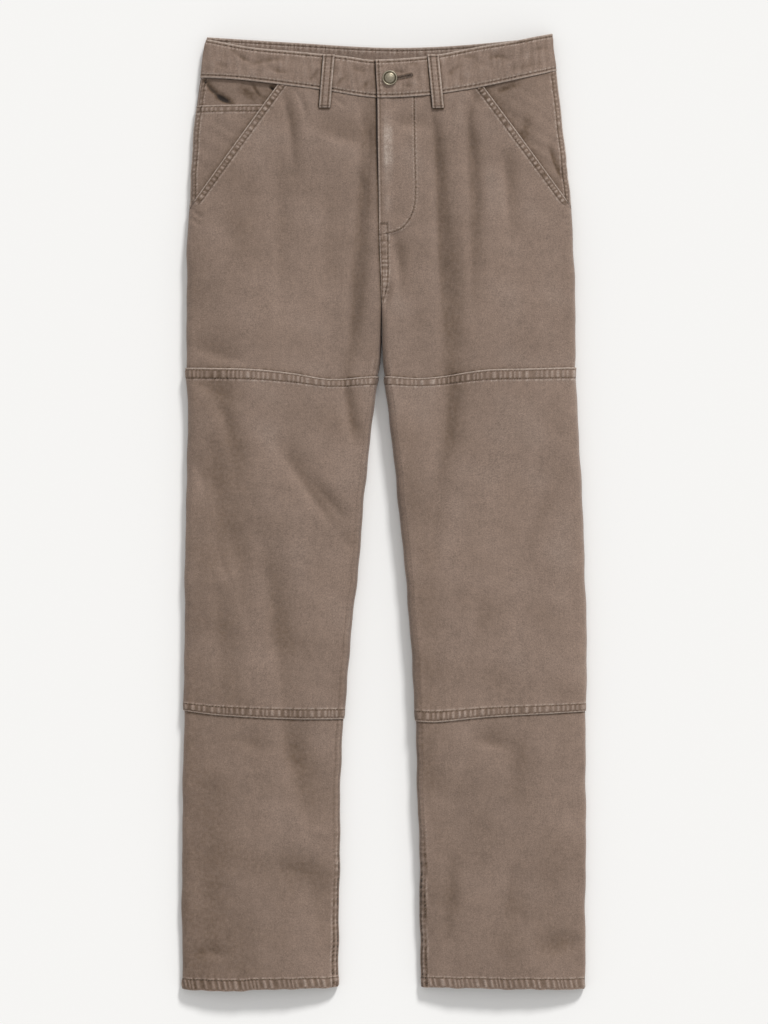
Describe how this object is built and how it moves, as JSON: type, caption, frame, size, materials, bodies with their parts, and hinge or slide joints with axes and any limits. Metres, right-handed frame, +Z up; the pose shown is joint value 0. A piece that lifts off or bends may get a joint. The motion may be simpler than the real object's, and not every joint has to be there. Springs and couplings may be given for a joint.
{
  "type": "carpenter pants",
  "caption": "Carpenter pants laid flat, front up: canvas legs with doubled knees, slanted pockets, a lapped fly, belt loops and a buttoned waistband.",
  "frame": {"origin": "on the surface that the pants lie on, under the middle of their box", "axes": "+Y from the hems to the waist, +Z up out of the surface, on the front's side, -X to the wearer's right leg"},
  "size_m": [0.466, 1.0999, 0.0287],
  "materials": {
    "canvas": "garment-dyed cotton canvas, taupe brown, matt, paler along the seams",
    "button_metal": "antiqued brass, darkened, satin"
  },
  "bodies": {
    "root": {"back_right": "canvas", "back_left": "canvas", "front_right": "canvas", "front_left": "canvas", "knee_panel_right": "canvas", "knee_panel_left": "canvas", "pocket_facing_right": "canvas", "pocket_facing_left": "canvas", "coin_pocket": "canvas", "waistband_right": "canvas", "waistband_left": "canvas", "waistband_back": "canvas", "belt_loop_front_right": "canvas", "belt_loop_front_left": "canvas", "belt_loop_back_right": "canvas", "belt_loop_back_centre": "canvas", "belt_loop_back_left": "canvas", "button": "button_metal"}
  },
  "joints": []
}
